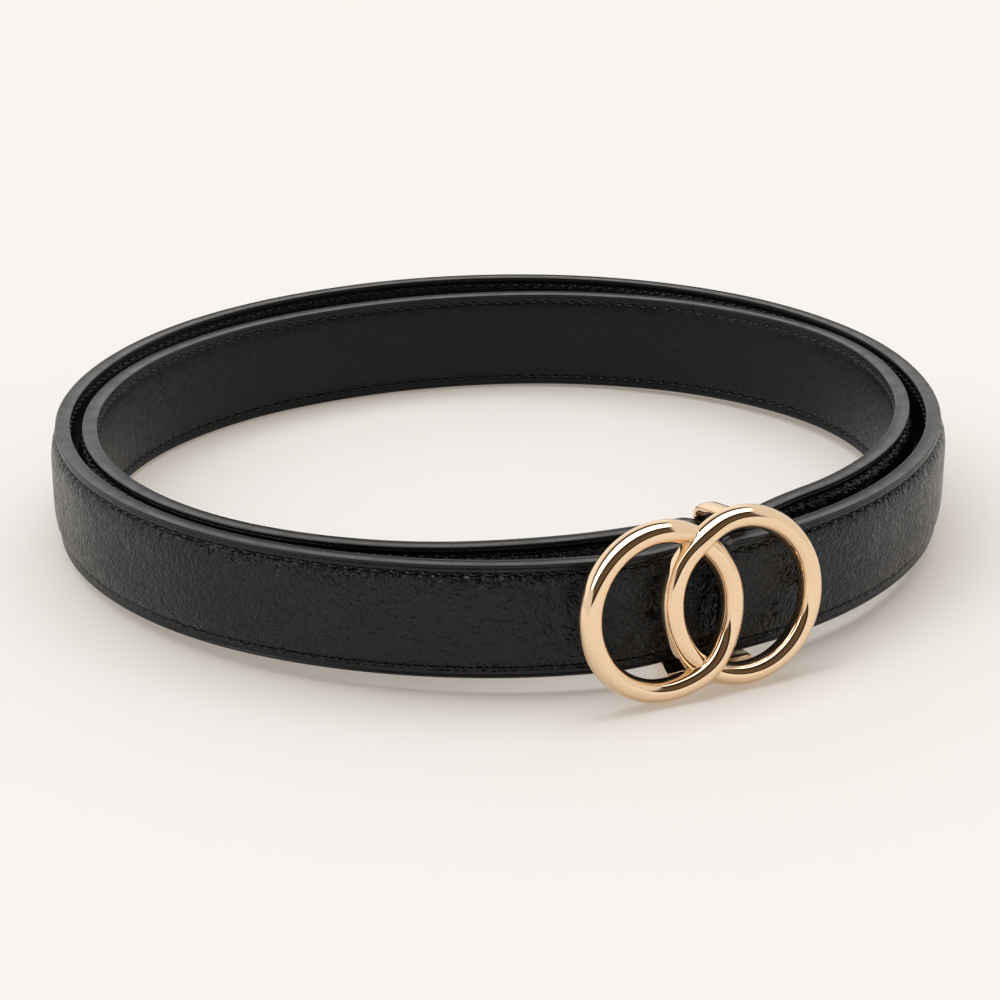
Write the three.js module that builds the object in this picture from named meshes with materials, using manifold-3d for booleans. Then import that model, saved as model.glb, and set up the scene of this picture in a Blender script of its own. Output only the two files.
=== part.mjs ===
// A double ring belt: one long black leather strap, coiled in two turns and standing on its edge,
// with two interlocked gold rings at the front. Millimetres, +Z up, and the rings face -Y.
// The strap is a spiral. It starts behind the rings, runs round as the outer turn, passes behind
// its own start and goes round once more as the inner turn, where its rounded tip ends.
import * as THREE from "three";
import { mergeVertices } from "three/addons/utils/BufferGeometryUtils.js";
import Module from "manifold-3d";

const wasm = await Module();
wasm.setup();

// Strap
const strapWidth = 23;
const faceWall = 1.8;
const liningWall = 1.0;
const fitGap = 0.3; // between pieces that touch on the real belt
const padding = 1.1; // how far the padded face stands out between its two seams
const liningSwell = 0.25;
const tipLength = 11;
const strapThickness = faceWall + fitGap + liningWall;

// Coil, in the plane of the strap's lower edge. A bearing is in degrees, from -Y towards +X.
const coilRadius = 96;
const startBearing = -3;
const tipBearing = 723;
const crossStart = 342; // here the strap leaves the outer turn
const crossEnd = 378; // and here it has reached the inner one
const stationStep = 5;

// Rings
const ringOuterRadius = 17.6;
const ringBand = 4.6;
const ringDepth = 3.6;
const ringSpacing = 17.5; // from centre to centre
const ringLift = 1.65; // of the rings' centres over the middle of the strap
const ringOffset = -12.4; // of the pair from the coil's centre, along X
const ringStandoff = 1.4; // of the rings' flat backs from the padded leather
const ringLean = 8.2; // degrees, their tops towards the coil
const ringTurn = 2.8; // degrees, the right ring forward
const lapDepth = 0.9; // how far each ring bends out of its plane where it passes the other
const lapReach = 5; // and how far along it
const ringSegments = 64;

// Keeper, the bent metal strip that holds the strap's layers together behind the rings
const keeperThickness = 1.0;
const keeperWidth = 12.5;
const lipWidth = 19.4; // of the front end that shows under the strap
const lipOffset = -9.8; // of the lip's middle, along X
const keeperOffset = -6.4; // of the wide plate's middle, along X
const keeperBend = 1.6;
const tongueWidth = 4.4;
const tongueOffset = 0.8; // of the tongue's middle, along X
const tongueBend = 2.4;
const keeperSlack = 0.8; // behind the strap's inner turn
const tongueSlack = 0.7; // over the strap's upper edge
const tongueRise = 3.2; // of the tongue's front end over the strap

// Hidden stud that fastens the strap's start to the right ring, and the holes near the tip
const studRadius = 1.2;
const studShift = 1.4; // from the ring's middle line, outwards
const studHeadRadius = 3;
const studHeadHeight = 0.9;
const holeRadius = 1.5;
const holeCount = 5;
const holePitch = 22;
const firstHole = 62; // from the tip
const holeSides = 12;

// Plan of the coil. face is the radius of the strap's outer side as a share of coilRadius, and
// gap is the clear space between the two turns, as a share of coilRadius too.
const plan = [
  { bearing: 0, face: 0.993, gap: 0.084 },
  { bearing: 22.5, face: 0.989, gap: 0.057 },
  { bearing: 45, face: 0.991, gap: 0.033 },
  { bearing: 67.5, face: 0.997, gap: 0.013 },
  { bearing: 90, face: 1.015, gap: 0.014 },
  { bearing: 112.5, face: 1.027, gap: 0.057 },
  { bearing: 135, face: 1.021, gap: 0.099 },
  { bearing: 157.5, face: 1.003, gap: 0.116 },
  { bearing: 180, face: 0.984, gap: 0.103 },
  { bearing: 202.5, face: 0.979, gap: 0.071 },
  { bearing: 225, face: 0.982, gap: 0.034 },
  { bearing: 247.5, face: 0.998, gap: 0.015 },
  { bearing: 270, face: 1.015, gap: 0.009 },
  { bearing: 292.5, face: 1.021, gap: 0.014 },
  { bearing: 315, face: 1.011, gap: 0.032 },
  { bearing: 337.5, face: 1.003, gap: 0.07 },
];
const planStep = plan[1].bearing;

// Sections of the two leathers. height is a share of strapWidth, and out a share of the padding
// or of the lining's swell.
const faceSection = [
  { height: 0, out: 0 },
  { height: 0.085, out: 0 },
  { height: 0.2, out: 0.62 },
  { height: 0.35, out: 0.93 },
  { height: 0.5, out: 1 },
  { height: 0.65, out: 0.93 },
  { height: 0.8, out: 0.62 },
  { height: 0.915, out: 0 },
  { height: 1, out: 0 },
];
const liningSection = [
  { height: 0, out: 0 },
  { height: 0.085, out: 0 },
  { height: 0.25, out: 0.8 },
  { height: 0.5, out: 1 },
  { height: 0.75, out: 0.8 },
  { height: 0.915, out: 0 },
  { height: 1, out: 0 },
];

// How much of the padding is left along the strap: it is pressed flat where the metal holds it.
const paddingAlong = [
  { bearing: startBearing, share: 0.3 },
  { bearing: 20, share: 1 },
  { bearing: 338, share: 1 },
  { bearing: 352, share: 0.35 },
  { bearing: 362, share: 0.35 },
  { bearing: 385, share: 1 },
  { bearing: 700, share: 1 },
  { bearing: tipBearing, share: 0.2 },
];

// The rounded tip. back is the distance from the tip's end as a share of tipLength, and width is
// what is left of strapWidth there.
const tipShape = [
  { back: 1, width: 1 },
  { back: 0.62, width: 0.95 },
  { back: 0.33, width: 0.8 },
  { back: 0.12, width: 0.56 },
  { back: 0, width: 0.3 },
];

const radians = THREE.MathUtils.degToRad;

// The value of a table's column between its rows, on straight lines.
function between(rows, key, at, column) {
  const next = rows.findIndex((row) => row[key] >= at);
  if (next === 0) return rows[0][column];
  if (next < 0) return rows[rows.length - 1][column];
  const low = rows[next - 1];
  const high = rows[next];
  const share = (at - low[key]) / (high[key] - low[key]);
  return THREE.MathUtils.lerp(low[column], high[column], share);
}

// The value of a column of the plan at a bearing, on a smooth closed curve through its rows.
function planValue(bearing, column) {
  const place = THREE.MathUtils.euclideanModulo(bearing, 360) / planStep;
  const row = Math.floor(place);
  const t = place - row;
  const [a, b, c, d] = [-1, 0, 1, 2].map(
    (step) => plan[(row + step + plan.length) % plan.length][column],
  );
  const slopeIn = (c - a) / 2;
  const slopeOut = (d - b) / 2;
  const square = (3 * (c - b) - 2 * slopeIn - slopeOut) * t * t;
  const cube = (2 * (b - c) + slopeIn + slopeOut) * t * t * t;
  return b + slopeIn * t + square + cube;
}

// Radius of the strap's outer side, without the padding, from the start to the tip.
function faceRadius(bearing) {
  const outer = planValue(bearing, "face") * coilRadius;
  const gap = planValue(bearing, "gap") * coilRadius;
  const drop = strapThickness + liningSwell + padding + gap;
  return outer - drop * THREE.MathUtils.smoothstep(bearing, crossStart, crossEnd);
}

function onPath(bearing) {
  const angle = radians(bearing);
  const radius = faceRadius(bearing);
  return new THREE.Vector3(radius * Math.sin(angle), -radius * Math.cos(angle), 0);
}

// Where the strap runs at a bearing: a point on its outer side, and the direction out of it.
function station(bearing) {
  const reach = 0.5;
  const along = onPath(bearing + reach).sub(onPath(bearing - reach)).normalize();
  return { point: onPath(bearing), outward: new THREE.Vector3(along.y, -along.x, 0) };
}

// The bearing that lies a length of strap before another one.
function bearingBefore(bearing, length) {
  const step = 0.25;
  let at = bearing;
  for (let gone = 0; gone < length; at -= step)
    gone += onPath(at).distanceTo(onPath(at - step));
  return at;
}

function mesh(name, geometry, material) {
  const made = new THREE.Mesh(geometry, material);
  made.name = name;
  return made;
}

function merged(geometry) {
  const bare = new THREE.BufferGeometry();
  bare.setAttribute("position", geometry.getAttribute("position"));
  if (geometry.index) bare.setIndex(geometry.index);
  return mergeVertices(bare, 1e-4);
}

function toSolid(geometry) {
  const clean = merged(geometry);
  return new wasm.Manifold(
    new wasm.Mesh({
      numProp: 3,
      vertProperties: new Float32Array(clean.attributes.position.array),
      triVerts: new Uint32Array(clean.index.array),
    }),
  );
}

function toGeometry(solid) {
  const { vertProperties, triVerts } = solid.getMesh();
  const geometry = new THREE.BufferGeometry();
  geometry.setAttribute("position", new THREE.BufferAttribute(vertProperties, 3));
  geometry.setIndex(new THREE.BufferAttribute(triVerts, 1));
  geometry.computeVertexNormals();
  return geometry;
}

// A closed body through a row of sections with as many points each, in the same order. outline
// is one of them laid flat, and turns clockwise.
function loft(sections, outline) {
  const size = outline.length;
  const corners = sections.flat().flatMap((p) => [p.x, p.y, p.z]);
  const faces = [];
  for (let s = 0; s + 1 < sections.length; s += 1)
    for (let i = 0; i < size; i += 1) {
      const a = s * size + i;
      const b = s * size + ((i + 1) % size);
      faces.push(a, a + size, b);
      faces.push(b, a + size, b + size);
    }
  const last = (sections.length - 1) * size;
  for (const [a, b, c] of THREE.ShapeUtils.triangulateShape(outline, [])) {
    faces.push(a, c, b);
    faces.push(last + a, last + b, last + c);
  }
  const geometry = new THREE.BufferGeometry();
  geometry.setAttribute("position", new THREE.Float32BufferAttribute(corners, 3));
  geometry.setIndex(faces);
  geometry.computeVertexNormals();
  return geometry;
}

// Bearings of the strap's sections: even steps, then the rows of the tip's shape.
function stations() {
  const shaped = tipShape.map((row) => bearingBefore(tipBearing, row.back * tipLength));
  const steps = Math.round((shaped[0] - startBearing) / stationStep);
  const even = Array.from({ length: steps }, (_, i) =>
    THREE.MathUtils.lerp(startBearing, shaped[0], i / steps),
  );
  const wide = even.map((bearing) => ({ bearing, width: 1 }));
  return [...wide, ...tipShape.map((row, i) => ({ bearing: shaped[i], width: row.width }))];
}

// A leather of the strap. outline gives its section at a share of the padding, as points of
// (height, distance out of the strap's outer side).
function leather(outline) {
  const sections = stations().map(({ bearing, width }) => {
    const { point, outward } = station(bearing);
    const middle = strapWidth / 2;
    return outline(between(paddingAlong, "bearing", bearing, "share")).map(({ x, y }) => {
      const place = point.clone().addScaledVector(outward, y);
      return place.setZ(middle + (x - middle) * width);
    });
  });
  return loft(sections, outline(1));
}

function faceOutline(share) {
  const front = faceSection.map(
    (row) => new THREE.Vector2(row.height * strapWidth, row.out * padding * share),
  );
  return [
    ...front,
    new THREE.Vector2(strapWidth, -faceWall),
    new THREE.Vector2(0, -faceWall),
  ];
}

function liningOutline() {
  const back = liningSection.map(
    (row) => new THREE.Vector2(row.height * strapWidth, -strapThickness - row.out * liningSwell),
  );
  const front = -faceWall - fitGap;
  return [
    new THREE.Vector2(0, front),
    new THREE.Vector2(strapWidth, front),
    ...back.reverse(),
  ];
}

// A round bar that runs out of the strap at a bearing, from one distance out of its outer side
// to another, at the middle of its width.
function barThrough(bearing, radius, from, to) {
  const { point, outward } = station(bearing);
  const bar = new THREE.CylinderGeometry(radius, radius, to - from, holeSides);
  bar.applyQuaternion(
    new THREE.Quaternion().setFromUnitVectors(new THREE.Vector3(0, 1, 0), outward),
  );
  const centre = point.clone().addScaledVector(outward, (from + to) / 2);
  return bar.translate(centre.x, centre.y, strapWidth / 2);
}

// The rings' place: the pair's middle, in front of the strap's foremost stretch behind them.
const ringMean = ringOuterRadius - ringBand / 2;
const rightRingX = ringOffset + ringSpacing / 2;
const foremost = faceRadius(0) + padding * paddingAlong[0].share;
const ringBackY = -(foremost + ringStandoff);
const ringHeight = strapWidth / 2 + ringLift;
const crossing = Math.acos(ringSpacing / 2 / ringMean); // from the line through the centres

// Y of the rings' flat backs at a place across and up.
function ringBackAt(x, z) {
  const lean = (z - ringHeight) * Math.tan(radians(ringLean));
  return ringBackY + lean - (x - ringOffset) * Math.tan(radians(ringTurn));
}

// The stud stands behind the right ring's outer side.
const studX = rightRingX + ringMean + studShift;
const studBearing = THREE.MathUtils.radToDeg(Math.asin(studX / faceRadius(0)));

function strapHoles() {
  const bearings = Array.from({ length: holeCount }, (_, i) =>
    bearingBefore(tipBearing, firstHole + i * holePitch),
  );
  const outside = padding + fitGap;
  const inside = -(strapThickness + liningSwell + fitGap);
  const holes = bearings.map((bearing) => barThrough(bearing, holeRadius, inside, outside));
  return [...holes, barThrough(studBearing, studRadius + fitGap, inside, outside)];
}

function punched(geometry) {
  const cut = strapHoles().reduce(
    (solid, hole) => solid.subtract(toSolid(hole)),
    toSolid(geometry),
  );
  return toGeometry(cut);
}

function strapFace() {
  const material = new THREE.MeshStandardMaterial({ color: 0x141414, roughness: 0.5 });
  return mesh("strap_face", punched(leather(faceOutline)), material);
}

function strapLining() {
  const material = new THREE.MeshStandardMaterial({ color: 0x1a1a1a, roughness: 0.6 });
  return mesh("strap_lining", punched(leather(liningOutline)), material);
}

function gold() {
  return new THREE.MeshStandardMaterial({ color: 0xe8bd8c, roughness: 0.15, metalness: 1 });
}

// A ring with a round front and a flat back, its axis along Y and its middle at the origin.
function ring() {
  const frontPoints = 9;
  const edge = 0.4; // height of the straight side between the flat back and the round front
  const back = ringDepth / 2;
  const profile = [];
  for (let i = 0; i <= frontPoints; i += 1) {
    const angle = (Math.PI * i) / frontPoints;
    const radius = ringMean + (ringBand / 2) * Math.cos(angle);
    profile.push(new THREE.Vector2(radius, back - edge - (ringDepth - edge) * Math.sin(angle)));
  }
  profile.push(new THREE.Vector2(ringMean - ringBand / 2 + edge, back));
  profile.push(new THREE.Vector2(ringMean + ringBand / 2 - edge, back));
  profile.push(profile[0].clone());
  return new THREE.LatheGeometry(profile.reverse(), ringSegments);
}

// How far a ring is set back at an angle round it. The right one passes in front at the top and
// the left one at the bottom.
function lap(side, angle) {
  const top = side > 0 ? Math.PI - crossing : crossing;
  const bump = (middle) => {
    const turned = Math.atan2(Math.sin(angle - middle), Math.cos(angle - middle));
    return Math.exp(-(((turned * ringMean) / lapReach) ** 2));
  };
  return side * lapDepth * (bump(-top) - bump(top));
}

// The two rings pass over each other once each, and they are joined where they cross.
function doubleRing() {
  const placed = [-1, 1].map((side) => {
    const bent = ring();
    const corners = bent.getAttribute("position");
    for (let i = 0; i < corners.count; i += 1) {
      const angle = Math.atan2(corners.getZ(i), corners.getX(i));
      corners.setY(i, corners.getY(i) + lap(side, angle));
    }
    return bent.translate((side * ringSpacing) / 2, 0, 0);
  });
  const [left, right] = placed.map(toSolid);
  const pair = mesh("double_ring", toGeometry(left.add(right)), gold());
  pair.geometry.rotateX(-radians(ringLean)).rotateZ(-radians(ringTurn));
  pair.position.set(ringOffset, ringBackY - ringDepth / 2, ringHeight);
  return pair;
}

// A strip bent along a path in the YZ plane. A row has the path's place and the strip's middle
// and width along X there.
function bentStrip(path, thickness) {
  const corners = [
    new THREE.Vector2(-0.5, -0.5),
    new THREE.Vector2(-0.5, 0.5),
    new THREE.Vector2(0.5, 0.5),
    new THREE.Vector2(0.5, -0.5),
  ];
  const sections = path.map((row, i) => {
    const before = path[Math.max(i - 1, 0)];
    const after = path[Math.min(i + 1, path.length - 1)];
    const along = new THREE.Vector2(after.y - before.y, after.z - before.z).normalize();
    return corners.map(
      (corner) =>
        new THREE.Vector3(
          row.middle + corner.x * row.width,
          row.y + along.y * thickness * corner.y,
          row.z - along.x * thickness * corner.y,
        ),
    );
  });
  return loft(sections, corners);
}

// The keeper's plate lies under the strap and stands up behind it, narrows to a tongue, and the
// tongue comes back over the top to the right ring.
function keeper() {
  const half = keeperThickness / 2;
  const under = -(fitGap + half);
  const over = strapWidth + tongueSlack + half;
  const innerSide = faceRadius(720) - strapThickness - liningSwell;
  const behind = -(innerSide - keeperSlack) + half;
  const frontBelow = ringBackAt(lipOffset - lipWidth / 2, under) + lapDepth + fitGap;
  const tongueEnd = strapWidth + tongueRise;
  const frontAbove = ringBackAt(tongueOffset - tongueWidth / 2, tongueEnd + half) + fitGap;
  const lip = { middle: lipOffset, width: lipWidth };
  const plate = { middle: keeperOffset, width: keeperWidth };
  const tongue = { middle: tongueOffset, width: tongueWidth };
  const plateCut = keeperBend * (1 - Math.SQRT1_2);
  const tongueCut = tongueBend * (1 - Math.SQRT1_2);
  const path = [
    { y: frontBelow, z: under, ...lip },
    { y: behind - keeperBend, z: under, ...plate },
    { y: behind - plateCut, z: under + plateCut, ...plate },
    { y: behind, z: under + keeperBend, ...plate },
    { y: behind, z: strapWidth * 0.3, ...plate },
    { y: behind, z: strapWidth * 0.72, ...tongue },
    { y: behind, z: over - tongueBend, ...tongue },
    { y: behind - tongueCut, z: over - tongueCut, ...tongue },
    { y: behind - tongueBend, z: over, ...tongue },
    { y: frontAbove, z: tongueEnd, ...tongue },
  ];
  return mesh("keeper", bentStrip(path, keeperThickness), gold());
}

// The stud's shank runs from behind the right ring through the strap's start to a flat head.
function stud() {
  const { point, outward } = station(studBearing);
  const ringSide = point.y - ringBackAt(studX, strapWidth / 2);
  const shankEnd = ringSide / -outward.y - fitGap - studRadius * Math.abs(outward.x);
  const headFace = -(strapThickness + liningSwell + fitGap);
  const shank = barThrough(studBearing, studRadius, headFace - studHeadHeight / 2, shankEnd);
  const head = barThrough(studBearing, studHeadRadius, headFace - studHeadHeight, headFace);
  return mesh("stud", toGeometry(toSolid(shank).add(toSolid(head))), gold());
}

function lowestPoint(piece) {
  piece.updateMatrixWorld(true);
  const corners = piece.geometry.getAttribute("position");
  const all = Array.from({ length: corners.count }, (_, i) =>
    new THREE.Vector3().fromBufferAttribute(corners, i).applyMatrix4(piece.matrixWorld),
  );
  return all.reduce((low, corner) => (corner.z < low.z ? corner : low));
}

// The rings reach lower than the strap, so the coil leans back until its far edge and the rings
// both touch the surface that it stands on.
function belt() {
  const coil = new THREE.Group();
  const rings = doubleRing();
  coil.add(strapFace(), strapLining(), rings, keeper(), stud());
  const lowest = lowestPoint(rings);
  coil.rotation.x = -Math.atan2(-lowest.z, faceRadius(180) - lowest.y);
  coil.updateMatrixWorld(true);
  const box = new THREE.Box3().setFromObject(coil, true);
  const middle = box.getCenter(new THREE.Vector3());
  coil.position.set(-middle.x, -middle.y, -box.min.z);
  const whole = new THREE.Group();
  whole.add(coil);
  return whole;
}

export default belt();
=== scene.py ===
# Double ring belt: a coiled black leather strap with stitched seams and painted edges, and two
# interlocked gold rings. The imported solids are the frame, and every piece here sits in it.
import math
import bmesh
import bpy
import numpy as np
from mathutils import Matrix, Vector


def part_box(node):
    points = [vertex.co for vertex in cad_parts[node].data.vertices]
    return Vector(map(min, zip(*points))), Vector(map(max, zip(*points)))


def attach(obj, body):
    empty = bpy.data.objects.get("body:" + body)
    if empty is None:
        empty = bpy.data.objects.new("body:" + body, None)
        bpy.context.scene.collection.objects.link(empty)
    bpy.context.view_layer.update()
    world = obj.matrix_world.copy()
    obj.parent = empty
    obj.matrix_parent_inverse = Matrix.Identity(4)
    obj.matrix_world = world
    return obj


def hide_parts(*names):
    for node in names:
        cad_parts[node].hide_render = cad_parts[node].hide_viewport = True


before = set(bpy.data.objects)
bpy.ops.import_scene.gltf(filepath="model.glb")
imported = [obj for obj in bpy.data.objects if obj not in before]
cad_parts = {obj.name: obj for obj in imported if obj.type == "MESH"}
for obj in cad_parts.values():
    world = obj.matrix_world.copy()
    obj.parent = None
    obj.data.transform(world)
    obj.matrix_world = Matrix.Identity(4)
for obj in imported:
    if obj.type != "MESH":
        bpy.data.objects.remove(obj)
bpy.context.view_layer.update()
scene = bpy.context.scene
mm = 0.001


def makeMesh(name, corners, faces, material, flat=None):
    # corners in metres; flat holds a place on the unrolled strap for each corner, used as UV
    mesh = bpy.data.meshes.new(name)
    mesh.from_pydata([tuple(c) for c in corners], [], faces)
    if flat is not None:
        unrolled = mesh.uv_layers.new(name="flat")
        order = np.empty(len(mesh.loops), dtype=np.int32)
        mesh.loops.foreach_get("vertex_index", order)
        unrolled.data.foreach_set("uv", np.asarray(flat)[order].astype(np.float32).ravel())
    shell = bmesh.new()
    shell.from_mesh(mesh)
    bmesh.ops.recalc_face_normals(shell, faces=shell.faces)
    shell.to_mesh(mesh)
    shell.free()
    mesh.materials.append(material)
    mesh.shade_smooth()
    piece = bpy.data.objects.new(name, mesh)
    scene.collection.objects.link(piece)
    return piece


def skinFaces(rows, columns, aroundRows=False, caps=True):
    # quads between rows of corners; each row is a closed loop
    faces = []
    for r in range(rows if aroundRows else rows - 1):
        below, above = r * columns, ((r + 1) % rows) * columns
        for c in range(columns):
            d = (c + 1) % columns
            faces.append((below + c, below + d, above + d, above + c))
    if caps and not aroundRows:
        faces.append(tuple(range(columns))[::-1])
        faces.append(tuple((rows - 1) * columns + c for c in range(columns)))
    return faces


def settled(piece):
    # the piece's evaluated mesh takes the place of its modifiers
    graph = bpy.context.evaluated_depsgraph_get()
    mesh = bpy.data.meshes.new_from_object(piece.evaluated_get(graph))
    mesh.name = piece.name
    piece.modifiers.clear()
    piece.data = mesh
    return piece


# The strap's course. A bearing is in degrees from -Y towards +X, lengths are in millimetres.
strap = {
    "width": 23.0,
    "faceWall": 1.8,
    "liningWall": 1.0,
    "gap": 0.3,
    "padding": 1.1,
    "swell": 0.25,
    "tipLength": 11.0,
    "seamInset": 1.95,
    "cornerRadius": 2.0,  # of the strap's square start
    "crownPower": 5.5,  # a higher power keeps the padding flatter between its shoulders
}
coil = {
    "radius": 96.0,
    "start": -3.0,
    "tip": 723.0,
    "crossStart": 342.0,
    "crossEnd": 378.0,
    "behindRings": 720.0,
    "step": 0.1,  # between the course's points
    "slopeReach": 0.5,  # to each side, for the course's direction
}
# face: radius of the strap's outer side, gap: clear space between the turns, shares of the radius
plan = [
    {"bearing": 0.0, "face": 0.993, "gap": 0.084},
    {"bearing": 22.5, "face": 0.989, "gap": 0.057},
    {"bearing": 45.0, "face": 0.991, "gap": 0.033},
    {"bearing": 67.5, "face": 0.997, "gap": 0.013},
    {"bearing": 90.0, "face": 1.015, "gap": 0.014},
    {"bearing": 112.5, "face": 1.027, "gap": 0.057},
    {"bearing": 135.0, "face": 1.021, "gap": 0.099},
    {"bearing": 157.5, "face": 1.003, "gap": 0.116},
    {"bearing": 180.0, "face": 0.984, "gap": 0.103},
    {"bearing": 202.5, "face": 0.979, "gap": 0.071},
    {"bearing": 225.0, "face": 0.982, "gap": 0.034},
    {"bearing": 247.5, "face": 0.998, "gap": 0.015},
    {"bearing": 270.0, "face": 1.015, "gap": 0.009},
    {"bearing": 292.5, "face": 1.021, "gap": 0.014},
    {"bearing": 315.0, "face": 1.011, "gap": 0.032},
    {"bearing": 337.5, "face": 1.003, "gap": 0.07},
]
# how much of the padding is left: the metal presses it flat
pressed = [
    {"bearing": coil["start"], "share": 0.3},
    {"bearing": 20.0, "share": 1.0},
    {"bearing": 338.0, "share": 1.0},
    {"bearing": 352.0, "share": 0.35},
    {"bearing": 362.0, "share": 0.35},
    {"bearing": 385.0, "share": 1.0},
    {"bearing": 700.0, "share": 1.0},
    {"bearing": coil["tip"], "share": 0.2},
]
strapThickness = strap["faceWall"] + strap["gap"] + strap["liningWall"]


def planValue(bearing, column):
    place = np.mod(bearing, 360.0) / plan[1]["bearing"]
    row = np.floor(place).astype(int)
    t = place - row
    rows = np.array([line[column] for line in plan])
    a, b, c, d = (rows[(row + step) % len(plan)] for step in (-1, 0, 1, 2))
    slopeIn, slopeOut = (c - a) / 2, (d - b) / 2
    square = (3 * (c - b) - 2 * slopeIn - slopeOut) * t ** 2
    cube = (2 * (b - c) + slopeIn + slopeOut) * t ** 3
    return b + slopeIn * t + square + cube


def faceRadius(bearing):
    outer = planValue(bearing, "face") * coil["radius"]
    gap = planValue(bearing, "gap") * coil["radius"]
    drop = strapThickness + strap["swell"] + strap["padding"] + gap
    share = np.clip((bearing - coil["crossStart"]) / (coil["crossEnd"] - coil["crossStart"]), 0, 1)
    return outer - drop * share * share * (3 - 2 * share)


def onPath(bearing):
    angle, radius = np.radians(bearing), faceRadius(bearing)
    return np.stack([radius * np.sin(angle), -radius * np.cos(angle)], -1)


# the strap's course by length: bearing, place and outward direction at each length along it
courseBearing = np.arange(coil["start"], coil["tip"] + coil["step"] / 2, coil["step"])
coursePlace = onPath(courseBearing)
courseAlong = onPath(courseBearing + coil["slopeReach"]) - onPath(courseBearing - coil["slopeReach"])
courseAlong /= np.linalg.norm(courseAlong, axis=1)[:, None]
courseOut = np.stack([courseAlong[:, 1], -courseAlong[:, 0]], -1)
courseLength = np.append(0, np.cumsum(np.linalg.norm(np.diff(coursePlace, axis=0), axis=1)))
strapLength = courseLength[-1]
print("strap length in mm:", round(strapLength, 1))


def along(column, length):
    return np.interp(length, courseLength, column)


def bend(length, height, out):
    # from the unrolled strap (length, height, distance out of its outer side) to the coil
    length, height, out = np.broadcast_arrays(length, height, out)
    place = np.stack([along(coursePlace[:, i], length) for i in (0, 1)], -1)
    normal = np.stack([along(courseOut[:, i], length) for i in (0, 1)], -1)
    normal /= np.linalg.norm(normal, axis=-1)[..., None]
    flat = place + normal * out[..., None]
    return np.concatenate([flat, height[..., None]], -1)


# The rings' place and section
rings = {
    "outerRadius": 17.6,
    "band": 4.6,
    "depth": 3.6,
    "spacing": 17.5,
    "lift": 1.65,
    "offset": -12.4,
    "standoff": 1.4,
    "lean": 8.2,  # degrees, the tops towards the coil
    "turn": 2.8,  # degrees, the right ring forward
    "segments": 256,
    "frontPoints": 28,
    "straightSide": 0.4,
    "cornerSteps": (0.3, 0.7, 1.0),  # shares of a quarter turn round the flat back's soft corners
    "lapDepth": 0.9,  # each ring gives way by this much where they cross
    "lapReach": 5.0,
}
ringMean = rings["outerRadius"] - rings["band"] / 2
ringHeight = strap["width"] / 2 + rings["lift"]
foremost = float(faceRadius(np.array(0.0))) + strap["padding"] * pressed[0]["share"]
ringBackY = -(foremost + rings["standoff"])
ringTurn = Matrix.Rotation(math.radians(-rings["turn"]), 3, "Z")
ringLean = Matrix.Rotation(math.radians(-rings["lean"]), 3, "X")
ringsTurned = np.array(ringTurn @ ringLean)


def ringBackAt(x, z):
    # the plane of the rings' backs
    lean, turn = math.tan(math.radians(rings["lean"])), math.tan(math.radians(rings["turn"]))
    return ringBackY + (z - ringHeight) * lean - (x - rings["offset"]) * turn


def ringCorners(side):
    # side -1 is the left ring and 1 the right; the round front looks along -Y
    back, soft = rings["depth"] / 2, rings["straightSide"]
    front = np.linspace(0, math.pi, rings["frontPoints"])
    radius = list(ringMean + rings["band"] / 2 * np.cos(front))
    depth = list(back - soft - (rings["depth"] - soft) * np.sin(front))
    for outward, steps in ((-1, rings["cornerSteps"]), (1, rings["cornerSteps"][::-1])):
        for share in steps:
            angle = share * math.pi / 2
            radius.append(ringMean + outward * (rings["band"] / 2 - soft * (1 - math.cos(angle))))
            depth.append(back - soft + soft * math.sin(angle))
    around = np.linspace(0, 2 * math.pi, rings["segments"], endpoint=False)
    radius, depth = np.array(radius), np.array(depth)
    corners = np.stack(
        [
            np.cos(around)[:, None] * radius[None],
            np.broadcast_to(depth, (len(around), len(depth))),
            np.sin(around)[:, None] * radius[None],
        ],
        -1,
    )
    # the right ring passes in front at the top and the left one at the bottom
    crossing = math.acos(rings["spacing"] / 2 / ringMean)
    top = math.pi - crossing if side > 0 else crossing
    bumps = []
    for middle in (-top, top):
        away = np.angle(np.exp(1j * (around - middle))) * ringMean
        bumps.append(np.exp(-((away / rings["lapReach"]) ** 2)))
    corners[..., 1] += (side * rings["lapDepth"] * (bumps[0] - bumps[1]))[:, None]
    corners[..., 0] += side * rings["spacing"] / 2
    return corners @ ringsTurned.T + [rings["offset"], ringBackY - rings["depth"] / 2, ringHeight]


# The coil leans back on the rings' lowest point, and its shift sets the rings on the CAD rings' box
ringPoints = np.concatenate([ringCorners(side).reshape(-1, 3) for side in (-1, 1)])
lowest = ringPoints[ringPoints[:, 2].argmin()]
coilLean = -math.atan2(-lowest[2], float(faceRadius(np.array(180.0))) - lowest[1])
leaning = np.array(Matrix.Rotation(coilLean, 3, "X"))
leanedRings = ringPoints @ leaning.T
ringBox = [np.array(corner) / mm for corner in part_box("double_ring")]
coilShift = (ringBox[0] + ringBox[1]) / 2 - (leanedRings.min(0) + leanedRings.max(0)) / 2


def toFrame(points):
    # from the coil's millimetres to the frame's metres
    return (np.asarray(points).reshape(-1, 3) @ leaning.T + coilShift) * mm


# Node helpers
def newMaterial(name):
    material = bpy.data.materials.new(name)
    material.use_nodes = True
    material.node_tree.nodes.clear()
    shader = material.node_tree.nodes.new("ShaderNodeBsdfPrincipled")
    output = material.node_tree.nodes.new("ShaderNodeOutputMaterial")
    material.node_tree.links.new(shader.outputs["BSDF"], output.inputs["Surface"])
    return material, material.node_tree, shader


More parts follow.
